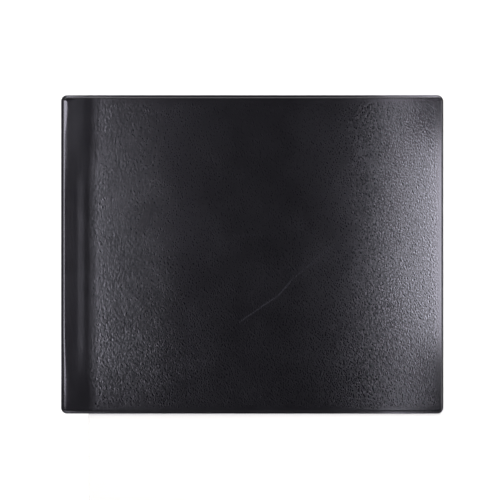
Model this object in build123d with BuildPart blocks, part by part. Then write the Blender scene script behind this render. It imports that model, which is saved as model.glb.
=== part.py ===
from build123d import *
import os

# A padded, leather-look desk mat whose narrow side strip folds down over the edge of a desk.
#
# A grained top film and a smooth base film are welded together all round the outline. Between
# them lie a stiff board and a foam pad, cut in two along the fold. Where the boards leave a gap,
# the two films alone carry on from the panel to the strip, and they are the hinge. A non-slip
# sheet is glued under the panel and another under the strip.
#
# The origin is the middle of the underside. X runs along the long side, Y away from the user and
# Z up. Every size is in millimetres.

# Outline
WIDTH = 600.0
DEPTH = 500.0
CORNER_RADIUS = 9.5

# Layers, from the desk upwards
BACKING = 0.8
BASE_FILM = 0.5
BOARD = 1.0
TOP_FILM = 0.6
WELDED_TOP_FILM = 0.5
THICKNESS = 4.5

# Rim: a flat welded flange, then a shoulder that climbs from it to the top face
FLANGE_WIDTH = 2.8
SHOULDER_WIDTH = 2.6

# Side strip and fold: the face falls from the strip's outer edge, over the fold, to a shallow
# valley in the panel, and climbs from there to the flat where one writes
STRIP_WIDTH = 40.0
FOLD_GAP = 6.0
STRIP_FALL = 0.9
FOLD_FALL = 0.25
VALLEY_FALL = 0.15
VALLEY_WIDTH = 16.0
CLIMB = 0.9
CLIMB_WIDTH = 130.0

# How far the inner pieces and the non-slip sheets stay back from the outline and from the fold
BOARD_INSET = 5.0
BOARD_FOLD_INSET = 0.6
BACKING_INSET = 9.0
BACKING_FOLD_INSET = 4.0
BACKING_RADIUS = 6.0
BACKING_DEPTH = DEPTH - 2 * BACKING_INSET

# Levels
BASE_Z = BACKING
BOARD_Z = BASE_Z + BASE_FILM
FOAM_Z = BOARD_Z + BOARD
FLANGE_Z = BOARD_Z + WELDED_TOP_FILM
TOP_Z = THICKNESS
STRIP_END_Z = TOP_Z - STRIP_FALL
PANEL_START_Z = STRIP_END_Z - FOLD_FALL
VALLEY_Z = PANEL_START_Z - VALLEY_FALL
WRITING_Z = VALLEY_Z + CLIMB

# Places along X
LEFT = -WIDTH / 2
RIGHT = WIDTH / 2
FOLD_X = LEFT + STRIP_WIDTH
STRIP_END = FOLD_X - FOLD_GAP / 2
PANEL_START = FOLD_X + FOLD_GAP / 2
CREST_X = LEFT + FLANGE_WIDTH + SHOULDER_WIDTH
VALLEY_X = PANEL_START + VALLEY_WIDTH
CLIMB_END = VALLEY_X + CLIMB_WIDTH

# The shoulder moves inwards by this much for each millimetre that it climbs
SHOULDER_SLOPE = SHOULDER_WIDTH / (TOP_Z - FLANGE_Z)
# The top film measured level instead of square to the shoulder
FILM_ACROSS = TOP_FILM * (1 + SHOULDER_SLOPE**2) ** 0.5


def shoulder_block(film):
    """The tapered block inside the shoulder, lying in by the film's thickness measured level."""
    low_inset = FLANGE_WIDTH + (BOARD_Z - FLANGE_Z) * SHOULDER_SLOPE + film
    high_inset = FLANGE_WIDTH + SHOULDER_WIDTH + film
    low_radius = CORNER_RADIUS - low_inset
    high_radius = CORNER_RADIUS - high_inset
    with BuildPart() as block:
        with BuildSketch(Plane.XY.offset(BOARD_Z)):
            RectangleRounded(WIDTH - 2 * low_inset, DEPTH - 2 * low_inset, low_radius)
        with BuildSketch(Plane.XY.offset(TOP_Z)):
            RectangleRounded(WIDTH - 2 * high_inset, DEPTH - 2 * high_inset, high_radius)
        loft()
    return block.part


def under_top_face(drop):
    """Everything under the top face, lowered by drop."""
    crest = (CREST_X, TOP_Z - drop)
    strip_end = (STRIP_END, STRIP_END_Z - drop)
    panel_start = (PANEL_START, PANEL_START_Z - drop)
    valley = (VALLEY_X, VALLEY_Z - drop)
    halfway = ((VALLEY_X + CLIMB_END) / 2, (VALLEY_Z + WRITING_Z) / 2 - drop)
    climb_end = (CLIMB_END, WRITING_Z - drop)
    with BuildPart() as block:
        with BuildSketch(Plane.XZ):
            with BuildLine():
                Polyline((LEFT, 0), (LEFT, TOP_Z - drop), crest, strip_end, panel_start, valley)
                TangentArc(valley, halfway, tangent=(1, 0))
                TangentArc(climb_end, halfway, tangent=(-1, 0))
                Polyline(climb_end, (RIGHT, WRITING_Z - drop), (RIGHT, 0), (LEFT, 0))
            make_face()
        extrude(amount=DEPTH / 2, both=True)
    return block.part


def sheet(inset, bottom, thickness):
    """A flat sheet whose edge runs along the outline, lying in by inset."""
    with BuildPart() as flat:
        with BuildSketch(Plane.XY.offset(bottom)):
            RectangleRounded(WIDTH - 2 * inset, DEPTH - 2 * inset, CORNER_RADIUS - inset)
        extrude(amount=thickness)
    return flat.part


def keep_between(low_x, high_x):
    """Trim the part being made to what lies between two places along X."""
    split(bisect_by=Plane.YZ.offset(low_x), keep=Keep.TOP)
    split(bisect_by=Plane.YZ.offset(high_x), keep=Keep.BOTTOM)


def top_film(low_x, high_x):
    """The top film between two places along X: flange, shoulder and top face."""
    with BuildPart() as film:
        add(shoulder_block(0))
        add(under_top_face(0), mode=Mode.INTERSECT)
        add(sheet(0, BOARD_Z, WELDED_TOP_FILM))
        add(hollow, mode=Mode.SUBTRACT)
        keep_between(low_x, high_x)
    return film.part


# The space that the two films leave for the boards and the foam
with BuildPart() as space:
    add(shoulder_block(FILM_ACROSS))
    add(under_top_face(TOP_FILM), mode=Mode.INTERSECT)
hollow = space.part

# Top film: one sheet on the real mat, in three lengths that meet at the fold
with BuildPart() as panel_top_cover:
    add(top_film(PANEL_START, RIGHT))

with BuildPart() as hinge_top_web:
    add(top_film(STRIP_END, PANEL_START))

with BuildPart() as strip_top_cover:
    add(top_film(LEFT, STRIP_END))

# Base film: flat, and also one sheet in three lengths
with BuildPart() as panel_base_cover:
    add(sheet(0, BASE_Z, BASE_FILM))
    keep_between(PANEL_START, RIGHT)

with BuildPart() as hinge_base_web:
    add(sheet(0, BASE_Z, BASE_FILM))
    keep_between(STRIP_END, PANEL_START)

with BuildPart() as strip_base_cover:
    add(sheet(0, BASE_Z, BASE_FILM))
    keep_between(LEFT, STRIP_END)

# Boards, loose between the films and stopping short of the weld and of the fold
with BuildPart() as panel_board:
    add(sheet(BOARD_INSET, BOARD_Z, BOARD))
    keep_between(PANEL_START + BOARD_FOLD_INSET, RIGHT)

with BuildPart() as strip_board:
    add(sheet(BOARD_INSET, BOARD_Z, BOARD))
    keep_between(LEFT, STRIP_END - BOARD_FOLD_INSET)

# Foam, which fills what is left between the boards and the top film
with BuildPart() as panel_foam:
    add(hollow)
    split(bisect_by=Plane.XY.offset(FOAM_Z), keep=Keep.TOP)
    keep_between(PANEL_START + BOARD_FOLD_INSET, RIGHT)

with BuildPart() as strip_foam:
    add(hollow)
    split(bisect_by=Plane.XY.offset(FOAM_Z), keep=Keep.TOP)
    keep_between(LEFT, STRIP_END - BOARD_FOLD_INSET)

# Non-slip sheets under the panel and under the strip
panel_backing_start = PANEL_START + BACKING_FOLD_INSET
panel_backing_end = RIGHT - BACKING_INSET
with BuildPart() as panel_backing:
    with BuildSketch(Plane.XY):
        with Locations(((panel_backing_start + panel_backing_end) / 2, 0)):
            RectangleRounded(panel_backing_end - panel_backing_start, BACKING_DEPTH, BACKING_RADIUS)
    extrude(amount=BACKING)

strip_backing_start = LEFT + BACKING_INSET
strip_backing_end = STRIP_END - BACKING_FOLD_INSET
with BuildPart() as strip_backing:
    with BuildSketch(Plane.XY):
        with Locations(((strip_backing_start + strip_backing_end) / 2, 0)):
            RectangleRounded(strip_backing_end - strip_backing_start, BACKING_DEPTH, BACKING_RADIUS)
    extrude(amount=BACKING)

# Labels and files
panel_top_cover.part.label = "panel_top_cover"
panel_foam.part.label = "panel_foam"
panel_board.part.label = "panel_board"
panel_base_cover.part.label = "panel_base_cover"
panel_backing.part.label = "panel_backing"
hinge_top_web.part.label = "hinge_top_web"
hinge_base_web.part.label = "hinge_base_web"
strip_top_cover.part.label = "strip_top_cover"
strip_foam.part.label = "strip_foam"
strip_board.part.label = "strip_board"
strip_base_cover.part.label = "strip_base_cover"
strip_backing.part.label = "strip_backing"

os.makedirs("parts", exist_ok=True)
export_step(panel_top_cover.part, "parts/panel_top_cover.step")
export_step(panel_foam.part, "parts/panel_foam.step")
export_step(panel_board.part, "parts/panel_board.step")
export_step(panel_base_cover.part, "parts/panel_base_cover.step")
export_step(panel_backing.part, "parts/panel_backing.step")
export_step(hinge_top_web.part, "parts/hinge_top_web.step")
export_step(hinge_base_web.part, "parts/hinge_base_web.step")
export_step(strip_top_cover.part, "parts/strip_top_cover.step")
export_step(strip_foam.part, "parts/strip_foam.step")
export_step(strip_board.part, "parts/strip_board.step")
export_step(strip_base_cover.part, "parts/strip_base_cover.step")
export_step(strip_backing.part, "parts/strip_backing.step")
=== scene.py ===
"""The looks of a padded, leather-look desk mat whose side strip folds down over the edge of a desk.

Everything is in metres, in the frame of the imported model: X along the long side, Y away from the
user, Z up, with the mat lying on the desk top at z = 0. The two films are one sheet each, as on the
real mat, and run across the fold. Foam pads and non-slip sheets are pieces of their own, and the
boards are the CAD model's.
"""

import math

import bpy
import numpy as np
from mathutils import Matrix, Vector


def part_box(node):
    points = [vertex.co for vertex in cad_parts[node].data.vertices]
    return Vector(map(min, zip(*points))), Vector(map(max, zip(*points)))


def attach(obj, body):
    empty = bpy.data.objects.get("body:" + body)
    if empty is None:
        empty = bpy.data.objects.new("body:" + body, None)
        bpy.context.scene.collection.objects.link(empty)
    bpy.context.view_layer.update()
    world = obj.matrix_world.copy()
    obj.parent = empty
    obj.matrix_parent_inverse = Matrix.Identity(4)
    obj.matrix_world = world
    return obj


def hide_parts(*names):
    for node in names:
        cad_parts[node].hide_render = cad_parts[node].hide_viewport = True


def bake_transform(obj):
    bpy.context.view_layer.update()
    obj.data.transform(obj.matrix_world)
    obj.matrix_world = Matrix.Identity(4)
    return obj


MM = 0.001

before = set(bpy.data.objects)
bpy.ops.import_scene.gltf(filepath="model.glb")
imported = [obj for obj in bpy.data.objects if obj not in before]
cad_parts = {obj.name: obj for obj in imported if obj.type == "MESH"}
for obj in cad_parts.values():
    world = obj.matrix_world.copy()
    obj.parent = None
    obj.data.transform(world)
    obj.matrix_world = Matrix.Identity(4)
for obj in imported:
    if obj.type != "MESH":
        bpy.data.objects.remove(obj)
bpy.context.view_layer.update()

# ---------------------------------------------------------------------------------------------
# Sizes
# ---------------------------------------------------------------------------------------------

# From the frame: the outline, the levels of the layers, and the gap between the two boards
HALF_X, HALF_Y, WRITING_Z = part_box("panel_top_cover")[1]
CREST_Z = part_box("strip_top_cover")[1][2]
BASE_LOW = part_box("panel_base_cover")[0][2]
BASE_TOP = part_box("panel_base_cover")[1][2]
BOARD_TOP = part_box("panel_board")[1][2]
STRIP_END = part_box("hinge_base_web")[0][0]
PANEL_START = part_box("hinge_base_web")[1][0]
FOLD_X = (STRIP_END + PANEL_START) / 2
BOARD_INSET = HALF_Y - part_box("panel_board")[1][1]
BOARD_FOLD_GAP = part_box("panel_board")[0][0] - PANEL_START

# The top film, square to itself and measured level through the steep wall of the shoulder
FILM = 0.6 * MM
FILM_ACROSS = 0.9 * MM
WELDED_FILM = 0.5 * MM
FLANGE_TOP = BASE_TOP + WELDED_FILM

# The rim, from the cut edge inwards: the rounded edge, a lip that falls to the weld groove (LIP is
# how much it falls short of GROOVE in width), the steep wall, and the crest, which leans outwards
CORNER_RADIUS = 9.5 * MM
EDGE_ROUNDING = 0.4 * MM
EDGE_DROP = 0.25 * MM
LIP = 0.8 * MM
LIP_RISE = 0.2 * MM
GROOVE = 3.6 * MM
WALL = 1.2 * MM
CREST = 2.4 * MM
CREST_LEAN = 0.16

# Where the rim differs: the groove lies nearer the edge on the right and further in at the front
# left, the crest is wider at the front left, and it broadens to a bead at the back left corner
RIGHT_WELD_SHIFT = 1.1 * MM
FRONT_WELD_SHIFT = 0.7 * MM
FRONT_CREST = 0.8 * MM
FRONT_LIP_LOSS = 0.8
BEAD_WIDTH = 7.0 * MM
BEAD_LENGTH = 75 * MM

# The face, along X from the fold line: how far it lies below the strip's outer edge, in the middle
# of the strip's length and at its two ends
MIDDLE_PROFILE = [(-35.4, 0), (-14.4, 0.84), (-3.4, 1.0), (3.7, 1.27), (14.6, 1.42)]
END_PROFILE = [(-35.4, 0), (-30.2, 0.06), (3.7, 1.26), (14.6, 1.42)]
RIDGE_MIDDLE = -25 * MM
RIDGE_HALF_LENGTH = 105 * MM
RIDGE_FADE = 80 * MM
CLIMB_START = 15 * MM
CLIMB_WIDTH = 140 * MM
PROFILE_BLUR = 2.0 * MM
# Towards the back, the whole of this lies further from the left edge
BACK_SHIFT = 6 * MM

# The leather grain, with scales per metre, and where along X it is boldest
GRAIN_DEPTH = 0.05 * MM
GRAIN_MIDDLE = 30 * MM
WRINKLE_SCALE = 490
PEBBLE_SCALE = 320
# How far the painted highlight on one side of each wrinkle is shifted from it
PAINTED_HIGHLIGHT_SHIFT = (0.7 * MM, 0.35 * MM, 0)


# ---------------------------------------------------------------------------------------------
# Shape
# ---------------------------------------------------------------------------------------------


def ease(t):
    """0 before t = 0, 1 after t = 1, and smooth between."""
    t = np.clip(t, 0, 1)
    return t * t * (3 - 2 * t)


def between(value, start, end):
    """0 up to start, 1 from end on, and smooth between."""
    return ease((value - start) / (end - start))


def rounded_line(x, points, blur):
    """The height at x of a line through points, with its corners rounded over about blur."""
    step = 0.25 * MM
    fine = np.arange(-HALF_X - 10 * MM, HALF_X + 10 * MM, step)
    line = np.interp(fine, *zip(*points))
    reach = np.arange(-4 * blur, 4 * blur, step)
    weights = np.exp(-((reach / blur) ** 2))
    padded = np.pad(line, len(reach) // 2, mode="edge")
    smooth = np.convolve(padded, weights / weights.sum(), mode="valid")[: len(fine)]
    return np.interp(x, fine, smooth)


def face_height(x, y):
    """The top of the film away from the rim."""
    off_left_rim = between(x, -HALF_X + 12 * MM, -HALF_X + 40 * MM)
    x = x - BACK_SHIFT * between(y, 90 * MM, 220 * MM) * off_left_rim

    def along(profile):
        points = [(FOLD_X + from_fold * MM, CREST_Z - drop * MM) for from_fold, drop in profile]
        return rounded_line(x, points, PROFILE_BLUR)

    from_middle = np.abs(y - RIDGE_MIDDLE)
    at_end = between(from_middle, RIDGE_HALF_LENGTH, RIDGE_HALF_LENGTH + RIDGE_FADE)
    strip = along(MIDDLE_PROFILE) * (1 - at_end) + along(END_PROFILE) * at_end
    valley = CREST_Z - MIDDLE_PROFILE[-1][1] * MM
    climbed = ease(np.clip((x - FOLD_X - CLIMB_START) / CLIMB_WIDTH, 0, 1) ** 1.3)
    return strip + (WRITING_Z - valley) * climbed


def near_left(x):
    """1 beside the left edge, fading to 0 half-way over the strip and beyond."""
    return between(-x, HALF_X - 28 * MM, HALF_X - 14 * MM)


def from_groove(x, y, inset):
    """How far in from the weld groove a place lies. The groove isn't equally far in all round."""
    on_right = RIGHT_WELD_SHIFT * between(x, HALF_X - 12 * MM, HALF_X - 4 * MM)
    at_front_left = FRONT_WELD_SHIFT * near_left(x) * between(-y, 120 * MM, 180 * MM)
    return inset + on_right - at_front_left - GROOVE


def wall_rise(x, y, inset):
    """How far up the steep wall of the shoulder a place is: 0 at the groove and 1 on the crest."""
    return 1 - (1 - np.clip(from_groove(x, y, inset) / WALL, 0, 1)) ** 3


def crest_height(x, y, inset):
    """The top face with its gently rounded crest, which is broader near the left corners."""
    bead = BEAD_WIDTH * between(y, HALF_Y - BEAD_LENGTH, HALF_Y - 0.2 * BEAD_LENGTH)
    front = FRONT_CREST * between(-y, 90 * MM, 140 * MM)
    width = CREST + near_left(x) * (bead + front)
    t = np.clip((from_groove(x, y, inset) - WALL / 2) / width, 0, 1)
    return face_height(x, y) - CREST_LEAN * width / 3 * (1 - t) ** 3


def lip_height(x, y, inset):
    """The cut edge: rounded over at the outside, then a lip that falls straight to the groove.

    Along the front edge the lip is nearly level.
    """
    rounding = -EDGE_DROP * np.clip(1 - inset / EDGE_ROUNDING, 0, 1) ** 2
    rise = LIP_RISE * (1 - FRONT_LIP_LOSS * between(-y, HALF_Y - 12 * MM, HALF_Y - 4 * MM))
    return rounding + rise * np.clip(-from_groove(x, y, inset) / (GROOVE - LIP), 0, 1)


def film_outside(x, y, inset):
    """The outer face of the top film: lip, groove, wall, crest and face."""
    climbed = (crest_height(x, y, inset) - FLANGE_TOP) * wall_rise(x, y, inset)
    return FLANGE_TOP + lip_height(x, y, inset) + climbed


def film_inside(x, y, inset):
    """The inner face of the top film, a film's thickness inside the outer one."""
    inset = inset - FILM_ACROSS
    return BASE_TOP + (crest_height(x, y, inset) - FILM - BASE_TOP) * wall_rise(x, y, inset)


def mat_inset(x, y):
    """How far a place lies in from the mat's rounded outline."""
    across = np.abs(x) - (HALF_X - CORNER_RADIUS)
    along = np.abs(y) - (HALF_Y - CORNER_RADIUS)
    outside = np.hypot(np.maximum(across, 0), np.maximum(along, 0))
    return CORNER_RADIUS - outside - np.minimum(np.maximum(across, along), 0)


def steps(low, high, size):
    """Evenly spaced places from low to high, no further apart than size."""
    return np.linspace(low, high, max(2, math.ceil((high - low) / size) + 1))


def level(z):
    """The height function of a flat face."""
    return lambda x, y, inset: np.full(len(x), z)


def new_piece(name, points, faces, inset):
    """A mesh object that remembers where each point lay at rest and how far in from the edge."""
    mesh = bpy.data.meshes.new(name)
    mesh.from_pydata(points.tolist(), [], faces)
    mesh.shade_smooth()
    rest = mesh.attributes.new("rest", "FLOAT_VECTOR", "POINT")
    rest.data.foreach_set("vector", points.astype(np.float32).ravel())
    from_edge = mesh.attributes.new("inset", "FLOAT", "POINT")
    from_edge.data.foreach_set("value", inset.astype(np.float32))
    piece = bpy.data.objects.new(name, mesh)
    bpy.context.scene.collection.objects.link(piece)
    return piece


def rounded_sheet(x, y, radius, rim, upper, lower):
    """The points, faces and insets of a closed sheet with a rounded rectangle for its outline.

    x and y are the places of its grid lines from edge to edge inside the corners. rim lists how
    far in from the outline each ring lies, from the corner radius down to 0. upper and lower give
    the two faces' heights at (x, y, inset).
    """
    columns, rows = len(x), len(y)
    turn = np.linspace(0, math.pi / 2, 10)[1:-1]
    corners = [(x[-1], y[0], -90), (x[-1], y[-1], 0), (x[0], y[-1], 90), (x[0], y[0], 180)]

    def ring(inset):
        """One ring: each side's points, then the corner's, anticlockwise from the bottom left."""
        out = radius - inset
        sides = [
            np.stack([x, np.full(columns, y[0] - out)], 1),
            np.stack([np.full(rows, x[-1] + out), y], 1),
            np.stack([x[::-1], np.full(columns, y[-1] + out)], 1),
            np.stack([np.full(rows, x[0] - out), y[::-1]], 1),
        ]
        parts = []
        for side, (cx, cy, start) in zip(sides, corners):
            angle = math.radians(start) + turn
            arc = np.stack([cx + out * np.cos(angle), cy + out * np.sin(angle)], 1)
            parts += [side, arc]
        return np.concatenate(parts)

    grid = np.stack(np.meshgrid(x, y), -1).reshape(-1, 2)
    number = np.arange(rows * columns).reshape(rows, columns)
    sides = [number[0], number[:, -1], number[-1, ::-1], number[::-1, 0]]
    loops = [np.concatenate([np.append(side, np.full(len(turn), side[-1])) for side in sides])]
    from_grid_edge = np.minimum.reduce(
        [grid[:, 0] - x[0], x[-1] - grid[:, 0], grid[:, 1] - y[0], y[-1] - grid[:, 1]]
    )
    places, insets = [grid], [radius + from_grid_edge]
    for inset in rim[1:]:
        points = ring(inset)
        loops.append(sum(len(p) for p in places) + np.arange(len(points)))
        places.append(points)
        insets.append(np.full(len(points), inset))
    flat, inset = np.concatenate(places), np.concatenate(insets)

    quads = np.stack([number[:-1, :-1], number[:-1, 1:], number[1:, 1:], number[1:, :-1]], -1)
    faces = quads.reshape(-1, 4).tolist()
    for inner, outer in zip(loops, loops[1:]):
        band = np.stack([inner, outer, np.roll(outer, -1), np.roll(inner, -1)], -1)
        faces += [list(dict.fromkeys(face)) for face in band.tolist()]

    count = len(flat)
    under = [[v + count for v in reversed(face)] for face in faces]
    last, following = loops[-1], np.roll(loops[-1], -1)
    wall = np.stack([last, last + count, following + count, following], -1).tolist()
    top = np.column_stack([flat, upper(flat[:, 0], flat[:, 1], inset)])
    bottom = np.column_stack([flat, lower(flat[:, 0], flat[:, 1], inset)])
    return np.concatenate([top, bottom]), faces + under + wall, np.tile(inset, 2)


def covers():
    """The grained top film and the base film, each one sheet from edge to edge."""
    inner_x, inner_y = HALF_X - CORNER_RADIUS, HALF_Y - CORNER_RADIUS
    valley, climb_end = FOLD_X + 20 * MM, FOLD_X + CLIMB_START + CLIMB_WIDTH
    strip_x = steps(-inner_x, valley, 1.0 * MM)
    climb_x = steps(valley, climb_end, 3.0 * MM)
    flat_x = steps(climb_end, inner_x, 6.0 * MM)
    x = np.concatenate([strip_x[:-1], climb_x[:-1], flat_x])
    y = steps(-inner_y, inner_y, 4.0 * MM)
    rim = [9.5, 8.6, 7.8, 7.1, 6.5, 6.0, 5.5, 5.1, 4.8, 4.5, 4.3, 4.1, 3.9, 3.75, 3.6, 3.3]
    rim += [3.0, 2.8, 2.6, 2.4, 2.25, 2.1, 1.7, 1.3, 0.9, 0.6, 0.3, 0.15, 0.05, 0]
    rim = np.array(rim) * MM
    top_sheet = rounded_sheet(x, y, CORNER_RADIUS, rim, film_outside, film_inside)
    rounding = 0.2 * MM

    def underside(x, y, inset):
        return BASE_LOW + rounding * (1 - np.sqrt(1 - np.clip(1 - inset / rounding, 0, 1) ** 2))

    rim = np.array([9.5, 6, 3, 1, 0.4, 0.2, 0.1, 0]) * MM
    base_sheet = rounded_sheet(x, y[::4], CORNER_RADIUS, rim, level(BASE_TOP), underside)
    return new_piece("top_cover", *top_sheet), new_piece("base_cover", *base_sheet)


def foam_pad(name, low_x, high_x):
    """The foam between a board and the top film, pressed thin where the film comes down."""
    radius = CORNER_RADIUS - BOARD_INSET
    low_y = -HALF_Y + BOARD_INSET

    def top(x, y, inset):
        under_film = film_inside(x, y, mat_inset(x, y)) - 0.02 * MM
        rounded = 0.25 * MM * np.clip(1 - inset / (0.5 * MM), 0, 1) ** 2
        return np.maximum(under_film - rounded, BOARD_TOP + 0.05 * MM)

    x = steps(low_x + radius, high_x - radius, 4 * MM)
    y = steps(low_y + radius, -low_y - radius, 5 * MM)
    rim = np.array([radius / MM, 3.2, 2.2, 1.4, 0.8, 0.4, 0.2, 0]) * MM
    return new_piece(name, *rounded_sheet(x, y, radius, rim, top, level(BOARD_TOP)))


def pip(sides=8):
    """A low dome pointing down, as (points, faces), with its flat side at z = 0 and 1 deep."""
    rings = [(1.0, 0.0), (0.86, -0.55), (0.5, -0.9)]
    turn = np.arange(sides) * 2 * math.pi / sides
    points = [np.stack([r * np.cos(turn), r * np.sin(turn), np.full(sides, z)], 1) for r, z in rings]
    points.append(np.array([[0, 0, -1.0]]))
    faces = [list(range(sides))]
    for ring in range(len(rings) - 1):
        for a in range(sides):
            b = (a + 1) % sides
            low, high = ring * sides, (ring + 1) * sides
            faces.append([low + a, high + a, high + b, low + b])
    last, tip = (len(rings) - 1) * sides, len(rings) * sides
    faces += [[last + a, tip, last + (a + 1) % sides] for a in range(sides)]
    return np.concatenate(points), faces


def grip_sheet(name, node, pitch=9 * MM, pip_radius=2.0 * MM, pip_height=0.3 * MM):
    """A thin rubber sheet with rows of low round pips on its underside."""
    low, high = (np.array(corner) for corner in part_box(node))
    radius = 6 * MM
    web_low = low[2] + pip_height
    rounding = 0.25 * MM

    def underside(x, y, inset):
        return web_low + rounding * np.clip(1 - inset / rounding, 0, 1) ** 2

    x = steps(low[0] + radius, high[0] - radius, 12 * MM)
    y = steps(low[1] + radius, high[1] - radius, 12 * MM)
    rim = np.array([6, 3, 1, 0.25, 0.12, 0]) * MM
    points, faces, inset = rounded_sheet(x, y, radius, rim, level(high[2]), underside)
    sunk = 0.05 * MM
    dome, dome_faces = pip()
    dome = dome * (pip_radius, pip_radius, pip_height + sunk)
    margin = 4 * MM
    places = []
    rows = steps(low[1] + margin, high[1] - margin, pitch * math.sqrt(0.75))
    for row, place_y in enumerate(rows):
        shift = pitch / 2 if row % 2 else 0
        for place_x in np.arange(low[0] + margin + shift, high[0] - margin, pitch):
            places.append((place_x, place_y, web_low + sunk))
    count = len(points)
    domes = [dome + place for place in places]
    for number in range(len(places)):
        start = count + number * len(dome)
        faces += [[start + v for v in face] for face in dome_faces]
    points = np.concatenate([points] + domes)
    inset = np.concatenate([inset, np.full(len(places) * len(dome), radius)])
    return new_piece(name, points, faces, inset)


top_cover, base_cover = covers()
panel_pad = foam_pad("panel_pad", PANEL_START + BOARD_FOLD_GAP, HALF_X - BOARD_INSET)
strip_pad = foam_pad("strip_pad", -HALF_X + BOARD_INSET, STRIP_END - BOARD_FOLD_GAP)
panel_grip = grip_sheet("panel_grip", "panel_backing")
strip_grip = grip_sheet("strip_grip", "strip_backing")


# ---------------------------------------------------------------------------------------------
# Materials
# ---------------------------------------------------------------------------------------------


class Shader:
    """A material being made: add() puts in a node, with its inputs given by name."""

    def __init__(self, name):
        self.material = bpy.data.materials.new(name)
        self.material.use_nodes = True
        self.tree = self.material.node_tree
        self.surface = self.tree.nodes["Principled BSDF"]

    def add(self, kind, settings=None, **inputs):
        node = self.tree.nodes.new("ShaderNode" + kind)
        for key, value in (settings or {}).items():
            setattr(node, key, value)
        self.set(node, **inputs)
        return node

    def set(self, node, **inputs):
        """Give a node's inputs: a name with _ for each space, or their order on a Math node."""
        places = {"first": 0, "second": 1, "third": 2}
        for key, value in inputs.items():
            socket = node.inputs[places.get(key, key.replace("_", " "))]
            if isinstance(value, bpy.types.NodeSocket):
                self.tree.links.new(value, socket)
            else:
                socket.default_value = value

    def math(self, operation, first, second=0.0):
        return self.add("Math", {"operation": operation}, first=first, second=second).outputs[0]

    def attribute(self, name, output):
        return self.add("Attribute", {"attribute_name": name}).outputs[output]

    def noise(self, vector, scale, detail=2.0, roughness=0.5, distortion=0.0):
        node = self.add("TexNoise", Vector=vector, Scale=scale, Detail=detail)
        self.set(node, Roughness=roughness, Distortion=distortion)
        return node.outputs["Fac"]

    def stretched(self, vector, scale, turn=0.0, shift=(0, 0, 0)):
        node = self.add("Mapping", Vector=vector, Scale=scale, Rotation=(0, 0, turn))
        self.set(node, Location=shift)
        return node.outputs["Vector"]

    def ramp(self, value, low, high, to_low=0.0, to_high=1.0):
        node = self.add("MapRange", {"interpolation_type": "SMOOTHSTEP"}, Value=value)
        self.set(node, From_Min=low, From_Max=high, To_Min=to_low, To_Max=to_high)
        return node.outputs["Result"]

    def mix(self, factor, low, high):
        node = self.add("Mix", {"data_type": "RGBA"}, Factor=factor)
        for socket, colour in zip((s for s in node.inputs if s.type == "RGBA"), (low, high)):
            if isinstance(colour, bpy.types.NodeSocket):
                self.tree.links.new(colour, socket)
            else:
                socket.default_value = (*colour, 1)
        return next(s for s in node.outputs if s.type == "RGBA")

    def bump(self, height, distance):
        node = self.add("Bump", Strength=1.0, Distance=distance, Height=height)
        return node.outputs["Normal"]

    def scratch(self, vector, start, end, width):
        """1 along a straight line from start to end, in mm on the face, and 0 beside it."""
        (x0, y0), (x1, y1) = start, end
        node = self.add("Mapping", {"vector_type": "TEXTURE"}, Vector=vector)
        length = math.hypot(x1 - x0, y1 - y0)
        self.set(
            node,
            Location=((x0 + x1) / 2 * MM, (y0 + y1) / 2 * MM, 0),
            Rotation=(0, 0, math.atan2(y1 - y0, x1 - x0)),
            Scale=(length / 2 * MM, width / 2 * MM, 1),
        )
        local = self.add("SeparateXYZ", Vector=node.outputs["Vector"]).outputs
        along = self.ramp(self.math("ABSOLUTE", local["X"]), 0.75, 1.0, 1.0, 0.0)
        beside = self.ramp(self.math("ABSOLUTE", local["Y"]), 0.0, 1.0, 1.0, 0.0)
        return self.math("MULTIPLY", along, beside)


# Worn lines on the writing face, in mm from the middle of the mat: start, end, width
SCRATCHES = [
    ((-22, -107), (44, -62), 2.8),
    ((39, -67), (66, -36), 2.8),
    ((61, -41), (136, 21), 2.1),
    ((-34, 31), (8, 31), 1.0),
    ((-97, -72), (-98, -229), 1.2),
    ((-120, -163), (-65, -167), 1.2),
    ((-112, -172), (-72, -175), 1.0),
]
SCRATCH_DRIFT = (2 * MM, 2 * MM, 0)


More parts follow.
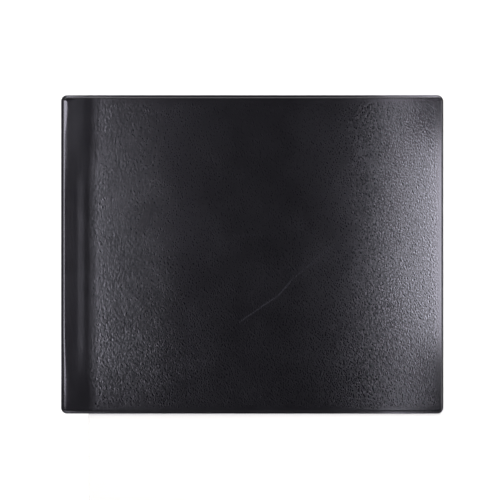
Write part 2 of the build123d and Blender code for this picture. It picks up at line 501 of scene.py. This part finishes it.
def leather_film():
    """Black embossed film: pebbles and fine crossing wrinkles, with a few scratches.

    The emboss is flatter on the strip and towards the rim. That it is bolder in the middle and in
    front was fitted to the one photo under these lights: the real film may well be even.
    """
    s = Shader("grained_film")
    rest = s.attribute("rest", "Vector")
    inset = s.attribute("inset", "Fac")
    x, y = s.add("SeparateXYZ", Vector=rest).outputs[:2]

    on_panel = s.ramp(x, FOLD_X + 2 * MM, FOLD_X + 20 * MM, 0.4, 1.0)
    off_rim = s.ramp(inset, 3 * MM, 16 * MM, 0.1, 1.0)
    patchy = s.ramp(s.noise(rest, 45, 2.0), 0.3, 0.7, 0.9, 1.1)
    to_front = s.ramp(y, -200 * MM, 30 * MM, 1.3, 0.9)
    off_middle = s.math("ABSOLUTE", s.math("SUBTRACT", x, GRAIN_MIDDLE))
    to_middle = s.ramp(off_middle, 130 * MM, 240 * MM, 1.25, 0.85)
    strength = on_panel
    for share in (off_rim, patchy, to_front, to_middle):
        strength = s.math("MULTIPLY", strength, share)

    def wrinkles(place):
        left = s.noise(s.stretched(place, (1, 0.7, 1), 0.5), WRINKLE_SCALE, 0.0, 0.5, 0.3)
        right = s.noise(s.stretched(place, (1, 0.7, 1), -0.5), WRINKLE_SCALE, 0.0, 0.5, 0.3)
        return s.math("ADD", left, right)

    here = wrinkles(rest)
    beside = wrinkles(s.stretched(rest, (1, 1, 1), 0.0, PAINTED_HIGHLIGHT_SHIFT))
    pebbles = s.add(
        "TexVoronoi", {"feature": "SMOOTH_F1"},
        Vector=s.stretched(rest, (1, 0.75, 1), 0.4), Scale=PEBBLE_SCALE, Smoothness=0.5,
    ).outputs["Distance"]
    grain = s.math("SUBTRACT", s.math("MULTIPLY", here, 0.7), s.math("MULTIPLY", pebbles, 0.85))
    height = s.math("MULTIPLY", grain, strength)
    # One side of each wrinkle is glossier. This isn't wear: it stands in for the light on the
    # bumps, which the denoiser smooths away, and it stays put when the lights change
    one_sided = s.math("MULTIPLY", s.math("SUBTRACT", beside, here), 1.3)
    # Painted shade as well: the hollows between the pebbles are given less gloss
    painted_grain_shading = s.math("ADD", s.ramp(pebbles, 0.1, 0.65, 0.15, -0.07), one_sided)

    drift = s.add("TexNoise", Vector=rest, Scale=30.0, Detail=1.0).outputs["Color"]
    wavy = s.add("VectorMath", {"operation": "MULTIPLY_ADD"}, first=drift, third=rest)
    s.set(wavy, second=SCRATCH_DRIFT)
    worn = 0.0
    for start, end, width in SCRATCHES:
        mark = s.scratch(wavy.outputs[0], start, end, width)
        worn = s.math("MAXIMUM", worn, mark)
    height = s.math("ADD", height, s.math("MULTIPLY", worn, 0.05))

    cloudy = s.noise(rest, 16, 4.0, 0.6, 0.4)
    smooth = s.ramp(x, FOLD_X + 2 * MM, FOLD_X + 16 * MM, -0.045, 0.0)
    smooth = s.math("ADD", smooth, s.ramp(x, -100 * MM, 50 * MM, 0.035, 0.0))
    roughness = s.math("ADD", s.ramp(cloudy, 0.3, 0.7, 0.13, 0.15), smooth)
    roughness = s.math("ADD", roughness, s.math("MULTIPLY", worn, 0.05))
    shade = s.mix(cloudy, (0.0012, 0.0010, 0.0016), (0.0056, 0.0054, 0.0065))
    shade = s.mix(s.math("MULTIPLY", worn, 0.7), shade, (0.016, 0.016, 0.019))
    # The specular level carries the painted highlight and shade on the grain
    specular_and_painted_grain_shading = s.math("ADD", 0.5, s.math("MULTIPLY", painted_grain_shading, strength))
    s.set(s.surface, Base_Color=shade, Roughness=roughness, Specular_IOR_Level=specular_and_painted_grain_shading)
    s.set(s.surface, Normal=s.bump(height, GRAIN_DEPTH))
    return s.material


def smooth_film():
    """Black base film with a faint linen emboss."""
    s = Shader("base_film")
    rest = s.attribute("rest", "Vector")
    threads = s.noise(s.stretched(rest, (1, 0.25, 1)), 1100, 1.0)
    weft = s.noise(s.stretched(rest, (0.25, 1, 1)), 1100, 1.0)
    linen = s.math("ADD", threads, weft)
    cloudy = s.noise(rest, 20, 3.0)
    s.set(s.surface, Base_Color=s.mix(cloudy, (0.005, 0.005, 0.0055), (0.009, 0.009, 0.0095)))
    s.set(s.surface, Roughness=s.ramp(linen, 0.7, 1.3, 0.42, 0.58))
    s.set(s.surface, Normal=s.bump(linen, 0.08 * MM))
    return s.material


def greyboard():
    """Pressed grey board with flecks of fibre."""
    s = Shader("board")
    place = s.add("TexCoord").outputs["Object"]
    fibres = s.noise(s.stretched(place, (1, 0.3, 1), 0.3), 900, 3.0, 0.6, 1.0)
    flecks = s.ramp(s.noise(place, 1500, 1.0), 0.68, 0.75)
    shade = s.mix(fibres, (0.17, 0.155, 0.135), (0.24, 0.22, 0.195))
    shade = s.mix(s.math("MULTIPLY", flecks, 0.5), shade, (0.07, 0.06, 0.05))
    s.set(s.surface, Base_Color=shade, Roughness=s.ramp(fibres, 0.3, 0.7, 0.8, 0.95))
    s.set(s.surface, Normal=s.bump(fibres, 0.1 * MM))
    return s.material


def foam():
    """Off-white open-cell foam."""
    s = Shader("foam")
    rest = s.attribute("rest", "Vector")
    cells = s.add("TexVoronoi", Vector=rest, Scale=1800.0).outputs["Distance"]
    cloudy = s.noise(rest, 40, 3.0)
    shade = s.mix(cloudy, (0.60, 0.59, 0.53), (0.70, 0.69, 0.64))
    # Painted shade: the foam is darker at the bottom of the hollows of its cells
    shade = s.mix(s.ramp(cells, 0.45, 0.1), shade, (0.38, 0.37, 0.33))
    s.set(s.surface, Base_Color=shade, Roughness=s.ramp(cells, 0.0, 0.6, 0.85, 1.0))
    s.set(s.surface, Normal=s.bump(cells, 0.2 * MM))
    return s.material


def rubber():
    """Black non-slip rubber, dusty between its pips."""
    s = Shader("non_slip")
    rest = s.attribute("rest", "Vector")
    z = s.add("SeparateXYZ", Vector=rest).outputs["Z"]
    speckle = s.noise(rest, 1600, 2.0)
    patches = s.ramp(s.noise(rest, 45, 6.0, 0.7), 0.4, 0.75)
    dust = s.math("MULTIPLY", patches, s.ramp(z, 0.1 * MM, 0.3 * MM))
    shade = s.mix(speckle, (0.010, 0.010, 0.011), (0.017, 0.017, 0.018))
    shade = s.mix(s.math("MULTIPLY", dust, 0.4), shade, (0.040, 0.038, 0.036))
    s.set(s.surface, Base_Color=shade, Roughness=s.ramp(speckle, 0.3, 0.7, 0.6, 0.85))
    s.set(s.surface, Normal=s.bump(speckle, 0.06 * MM))
    return s.material


def white(name, shade, glow):
    """A plain white surface that scatters a share of the light, shade, and gives off glow.

    It scatters less blue, which makes up for the cool light of the softboxes.
    """
    s = Shader(name)
    s.set(s.surface, Base_Color=(shade, shade, 0.92 * shade, 1), Roughness=0.9)
    s.set(s.surface, Specular_IOR_Level=0.0)
    s.set(s.surface, Emission_Color=(1, 1, 1, 1), Emission_Strength=glow)
    return s.material


def dress(material, slot, *pieces):
    """Give each piece the material; slot is not used."""
    for piece in pieces:
        piece.data.materials.append(material)


dress(leather_film(), "grained_film", top_cover)
dress(smooth_film(), "base_film", base_cover)
dress(foam(), "foam", panel_pad, strip_pad)
dress(rubber(), "non_slip", panel_grip, strip_grip)
board_material = greyboard()
for node in ("panel_board", "strip_board"):
    for material_slot in bpy.data.objects[node].material_slots:
        material_slot.material = board_material

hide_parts("panel_top_cover", "strip_top_cover", "hinge_top_web")
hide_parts("panel_base_cover", "strip_base_cover", "hinge_base_web")
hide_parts("panel_foam")
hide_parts("strip_foam")
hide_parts("panel_backing")
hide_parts("strip_backing")
for piece in (panel_pad, panel_grip):
    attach(piece, "panel")
for piece in (strip_pad, strip_grip):
    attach(piece, "side_strip")
for cover in (top_cover, base_cover):
    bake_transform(cover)

# ---------------------------------------------------------------------------------------------
# Desk top, light and camera
# ---------------------------------------------------------------------------------------------

# The camera looks straight down and sees this width at the level of the welded rim
VIEW_WIDTH = 0.7849
CAMERA_HEIGHT = 1.9
CAMERA_PLACE = (-0.0034, 0.0069)
SENSOR_WIDTH = 36
DESK_DROP = 45 * MM
NOSING = 1 * MM
FAR = 3.0
COOL = (0.88, 0.86, 1.0)


def stage_strip(name, line, material):
    """A stage surface: line, a list of (x, z), drawn out along Y from far in front to far behind."""
    count = len(line)
    mesh = bpy.data.meshes.new(name)
    points = [(x, side, z) for side in (-FAR, FAR) for x, z in line]
    faces = [(i, i + count, i + 1 + count, i + 1) for i in range(count - 1)]
    mesh.from_pydata(points, [], faces)
    mesh.materials.append(material)
    surface = bpy.data.objects.new(name, mesh)
    bpy.context.scene.collection.objects.link(surface)


def desk_and_floor():
    """A plain white desk top whose edge lies under the fold, and a plain white floor below it."""
    edge = PANEL_START - 0.2 * MM
    turn = np.linspace(0, math.pi / 2, 7)
    nosing = [(edge + NOSING * (1 - math.sin(a)), NOSING * (math.cos(a) - 1)) for a in turn]
    stage_strip("desk", [(FAR, 0)] + nosing + [(edge, -DESK_DROP)], white("desk", 0.58, 0.0))
    stage_strip("floor", [(edge, -DESK_DROP), (-FAR, -DESK_DROP)], white("floor", 0.3, 0.86))


def softbox(name, place, aim, size, power, colour=(1, 1, 1)):
    """A light that faces aim. Its size is its level width, then its height along its lean."""
    light = bpy.data.lights.new(name, "AREA")
    light.shape = "RECTANGLE"
    light.size, light.size_y = size
    light.energy = power
    light.color = colour
    lamp = bpy.data.objects.new(name, light)
    lamp.location = place
    direction = Vector(aim) - Vector(place)
    lamp.rotation_euler = direction.to_track_quat("-Z", "Y").to_euler()
    bpy.context.scene.collection.objects.link(lamp)


desk_and_floor()

# Overhead, mirrored by the film; low at the four sides, mirrored by the rim and lighting the desk
softbox("right_softbox", (1.19, 0.04, 2.1), (0.1, 0.04, 0), (0.72, 1.30), 37, COOL)
softbox("right_striplight", (0.484, 0.03, 2.1), (0.1, 0.03, 0), (1.24, 0.04), 2.1, COOL)
softbox("left_softbox", (-0.955, 0.064, 2.1), (-0.1, 0.064, 0), (1.09, 0.71), 28, COOL)
softbox("back_light", (0.0, 2.6, 0.8), (0, 0, 0), (5.0, 2.4), 240)
softbox("front_light", (0.0, -2.6, 1.2), (0, 0, 0), (3.0, 0.5), 10)
softbox("left_light", (-2.6, 0, 1.2), (0, 0, 0), (3.0, 0.5), 14)
softbox("right_light", (2.6, 0, 1.3), (0, 0, 0), (1.6, 1.0), 60)

world = bpy.data.worlds.new("studio")
world.use_nodes = True
world.node_tree.nodes["Background"].inputs["Color"].default_value = (1, 1, 1, 1)
world.node_tree.nodes["Background"].inputs["Strength"].default_value = 0.08
bpy.context.scene.world = world
bpy.context.scene.view_settings.view_transform = "Standard"

camera_data = bpy.data.cameras.new("camera")
camera_data.sensor_width = SENSOR_WIDTH
camera_data.lens = SENSOR_WIDTH * (CAMERA_HEIGHT - FLANGE_TOP) / VIEW_WIDTH
camera = bpy.data.objects.new("camera", camera_data)
camera.location = (*CAMERA_PLACE, CAMERA_HEIGHT)
bpy.context.scene.collection.objects.link(camera)
bpy.context.scene.camera = camera
